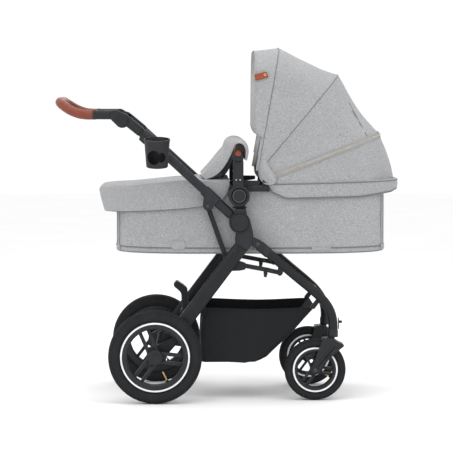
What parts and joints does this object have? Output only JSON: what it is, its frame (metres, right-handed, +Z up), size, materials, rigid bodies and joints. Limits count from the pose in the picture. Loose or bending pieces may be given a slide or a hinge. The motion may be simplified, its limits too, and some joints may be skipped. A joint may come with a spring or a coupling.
{
  "type": "baby stroller",
  "caption": "Folding baby stroller with a soft carrycot, apron and fan hood, sprung wheels, swivel casters, leather handlebar, cup holder and shopping basket.",
  "frame": {"origin": "bottom centre of the bounding box, on the ground", "axes": "+X in the direction of travel (hood end), +Y to the stroller's left, +Z up"},
  "size_m": [1.073, 0.6426, 1.0989],
  "materials": {
    "tyre_rubber": "moulded tread, matt",
    "black_plastic": "fine spark-eroded moulding",
    "frame_metal": "matt powder coat on aluminium tube",
    "steel": "turned",
    "brown_leather": "fine-grained, hand-stitched",
    "cup_plastic": "semi-matt",
    "basket_fabric": "coated woven",
    "grey_fabric": "heather weave, matt",
    "reflective_white": "reflective ring",
    "brass": "turned valve stem",
    "tan_leather": "smooth tab",
    "zip_tape": "woven tape with coil teeth"
  },
  "bodies": {
    "chassis": {"hub_housing_L": "black_plastic", "hub_housing_R": "black_plastic", "rear_leg_L": "frame_metal", "rear_leg_R": "frame_metal", "axle_housing_L": "black_plastic", "axle_housing_R": "black_plastic", "rear_axle_L": "steel", "rear_axle_R": "steel", "rear_crossbar": "frame_metal", "basket": "basket_fabric"},
    "handle_frame": {"handle_tube_L": "frame_metal", "handle_tube_R": "frame_metal", "handle_knuckle_L": "black_plastic", "handle_knuckle_R": "black_plastic", "cup_clip": "black_plastic"},
    "sleeves": {"sleeve_L": "black_plastic", "sleeve_R": "black_plastic"},
    "side_links": {"side_link_L": "frame_metal", "side_link_R": "frame_metal"},
    "handle": {"handle_arm_L": "black_plastic", "handle_arm_R": "black_plastic", "handle_grip": "brown_leather"},
    "front_frame": {"front_leg_L": "frame_metal", "front_leg_R": "frame_metal", "front_crossbar": "frame_metal"},
    "braces_rear": {"brace_rear_L": "black_plastic", "brace_rear_R": "black_plastic"},
    "braces_front": {"brace_front_L": "black_plastic", "brace_front_R": "black_plastic"},
    "cup": {"cup": "cup_plastic"},
    "brake_pedal": {"brake_pedal": "black_plastic"},
    "cot": {"cot_hub_L": "black_plastic", "cot_hub_R": "black_plastic", "cot_tub": "grey_fabric", "mattress": "grey_fabric", "apron": "grey_fabric", "hood_rear": "grey_fabric"},
    "bumper": {"bumper_bar": "black_plastic", "apron_flap": "grey_fabric"},
    "hood_mid_frame": {"hood_mid": "grey_fabric"},
    "hood_front_frame": {"hood_front": "grey_fabric"},
    "handle_button_L": {"handle_button_L": "black_plastic"},
    "fold_button_L": {"fold_button_L": "black_plastic"},
    "cot_button_L": {"cot_button_L": "black_plastic"},
    "swivel_lock_L": {"swivel_lock_L": "black_plastic"},
    "caster_L": {"fork_L": "black_plastic"},
    "front_wheel_L": {"tyre_front_L": "tyre_rubber", "rim_front_L": "black_plastic"},
    "rear_wheel_L": {"tyre_rear_L": "tyre_rubber", "rim_rear_L": "black_plastic"},
    "handle_button_R": {"handle_button_R": "black_plastic"},
    "fold_button_R": {"fold_button_R": "black_plastic"},
    "cot_button_R": {"cot_button_R": "black_plastic"},
    "swivel_lock_R": {"swivel_lock_R": "black_plastic"},
    "caster_R": {"fork_R": "black_plastic"},
    "front_wheel_R": {"tyre_front_R": "tyre_rubber", "rim_front_R": "black_plastic"},
    "rear_wheel_R": {"tyre_rear_R": "tyre_rubber", "rim_rear_R": "black_plastic"}
  },
  "joints": [
    {"name": "handle_fold", "type": "hinge", "parent": "chassis", "child": "handle_frame", "pos_m": [0.03655, 0.02226, 0.557], "axis": [0, -1, 0], "range_deg": [0, 68]},
    {"name": "sleeve_slide", "type": "slide", "parent": "handle_frame", "child": "sleeves", "axis": [-0.7361, 0, 0.6769], "range_m": [0, 0.1555]},
    {"name": "side_link_swing", "type": "hinge", "parent": "chassis", "child": "side_links", "pos_m": [0.00055, 0.02226, 0.43], "axis": [0, -1, 0], "range_deg": [0, 74.26]},
    {"name": "front_fold", "type": "hinge", "parent": "chassis", "child": "front_frame", "pos_m": [0.09255, 0.02226, 0.491], "axis": [0, 1, 0], "range_deg": [0, 40.05], "deforming": ["basket"]},
    {"name": "brace_rear_swing", "type": "hinge", "parent": "chassis", "child": "braces_rear", "pos_m": [0.04855, 0.02226, 0.422], "axis": [0, 1, 0], "range_deg": [0, 60.1]},
    {"name": "brace_front_swing", "type": "hinge", "parent": "front_frame", "child": "braces_front", "pos_m": [0.16155, 0.02226, 0.4], "axis": [0, -1, 0], "range_deg": [0, 122.24]},
    {"name": "handle_tilt", "type": "hinge", "parent": "handle_frame", "child": "handle", "pos_m": [-0.32545, 0.02226, 0.873], "axis": [0, 1, 0], "range_deg": [-40, 36]},
    {"name": "handle_button_press_L", "type": "slide", "parent": "handle", "child": "handle_button_L", "axis": [0, -1, 0], "range_m": [0, 0.004], "stiffness_N_per_m": 600, "springref_m": -0.002},
    {"name": "fold_button_press_L", "type": "slide", "parent": "chassis", "child": "fold_button_L", "axis": [0, -1, 0], "range_m": [0, 0.003], "stiffness_N_per_m": 600, "springref_m": -0.002},
    {"name": "cot_button_press_L", "type": "slide", "parent": "cot", "child": "cot_button_L", "axis": [0, -1, 0], "range_m": [0, 0.004], "stiffness_N_per_m": 600, "springref_m": -0.002},
    {"name": "swivel_lock_L", "type": "slide", "parent": "front_frame", "child": "swivel_lock_L", "axis": [0, 0, 1], "range_m": [0, 0.008]},
    {"name": "caster_swivel_L", "type": "hinge", "parent": "front_frame", "child": "caster_L", "pos_m": [0.32855, 0.21526, 0.15], "axis": [0, 0, 1], "continuous": true},
    {"name": "front_wheel_spin_L", "type": "hinge", "parent": "caster_L", "child": "front_wheel_L", "pos_m": [0.27325, 0.21526, 0.0957], "axis": [0, 1, 0], "continuous": true},
    {"name": "rear_wheel_spin_L", "type": "hinge", "parent": "chassis", "child": "rear_wheel_L", "pos_m": [-0.22545, 0.29726, 0.145], "axis": [0, 1, 0], "continuous": true},
    {"name": "handle_button_press_R", "type": "slide", "parent": "handle", "child": "handle_button_R", "axis": [0, 1, 0], "range_m": [0, 0.004], "stiffness_N_per_m": 600, "springref_m": -0.002},
    {"name": "fold_button_press_R", "type": "slide", "parent": "chassis", "child": "fold_button_R", "axis": [0, 1, 0], "range_m": [0, 0.003], "stiffness_N_per_m": 600, "springref_m": -0.002},
    {"name": "cot_button_press_R", "type": "slide", "parent": "cot", "child": "cot_button_R", "axis": [0, 1, 0], "range_m": [0, 0.004], "stiffness_N_per_m": 600, "springref_m": -0.002},
    {"name": "swivel_lock_R", "type": "slide", "parent": "front_frame", "child": "swivel_lock_R", "axis": [0, 0, 1], "range_m": [0, 0.008]},
    {"name": "caster_swivel_R", "type": "hinge", "parent": "front_frame", "child": "caster_R", "pos_m": [0.32855, -0.17074, 0.15], "axis": [0, 0, 1], "continuous": true},
    {"name": "front_wheel_spin_R", "type": "hinge", "parent": "caster_R", "child": "front_wheel_R", "pos_m": [0.27325, -0.17074, 0.0957], "axis": [0, 1, 0], "continuous": true},
    {"name": "rear_wheel_spin_R", "type": "hinge", "parent": "chassis", "child": "rear_wheel_R", "pos_m": [-0.22545, -0.25274, 0.145], "axis": [0, 1, 0], "continuous": true},
    {"name": "cup_lift", "type": "slide", "parent": "handle_frame", "child": "cup", "axis": [0, -0.1564, 0.9877], "range_m": [0, 0.06]},
    {"name": "brake_press", "type": "hinge", "parent": "chassis", "child": "brake_pedal", "pos_m": [-0.12845, 0.02226, 0.258], "axis": [0, -1, 0], "range_deg": [0, 16]},
    {"name": "cot_lift", "type": "slide", "parent": "chassis", "child": "cot", "axis": [0, 0, 1], "range_m": [0, 0.5]},
    {"name": "bumper_tilt", "type": "hinge", "parent": "cot", "child": "bumper", "pos_m": [0.03455, 0.02226, 0.64], "axis": [0, 1, 0], "range_deg": [-50, 8], "deforming": ["apron_flap"]},
    {"name": "hood_fold", "type": "hinge", "parent": "cot", "child": "hood_mid_frame", "pos_m": [0.11255, 0.02226, 0.7], "axis": [0, 1, 0], "range_deg": [0, 30], "deforming": ["hood_mid"]},
    {"name": "hood_front_fold", "type": "hinge", "parent": "hood_mid_frame", "child": "hood_front_frame", "pos_m": [0.11255, 0.02226, 0.7], "axis": [0, 1, 0], "range_deg": [0, 26.05], "deforming": ["hood_front"]}
  ],
  "couplings": [
    {"joint": "sleeve_slide", "follows": "handle_fold", "m_per_rad": 0.13064},
    {"joint": "side_link_swing", "follows": "handle_fold", "ratio": 1.0913},
    {"joint": "front_fold", "follows": "handle_fold", "ratio": 0.58823},
    {"joint": "brace_rear_swing", "follows": "handle_fold", "ratio": 0.88307},
    {"joint": "brace_front_swing", "follows": "handle_fold", "ratio": 1.7969},
    {"joint": "hood_front_fold", "follows": "hood_fold", "ratio": 0.86667}
  ]
}
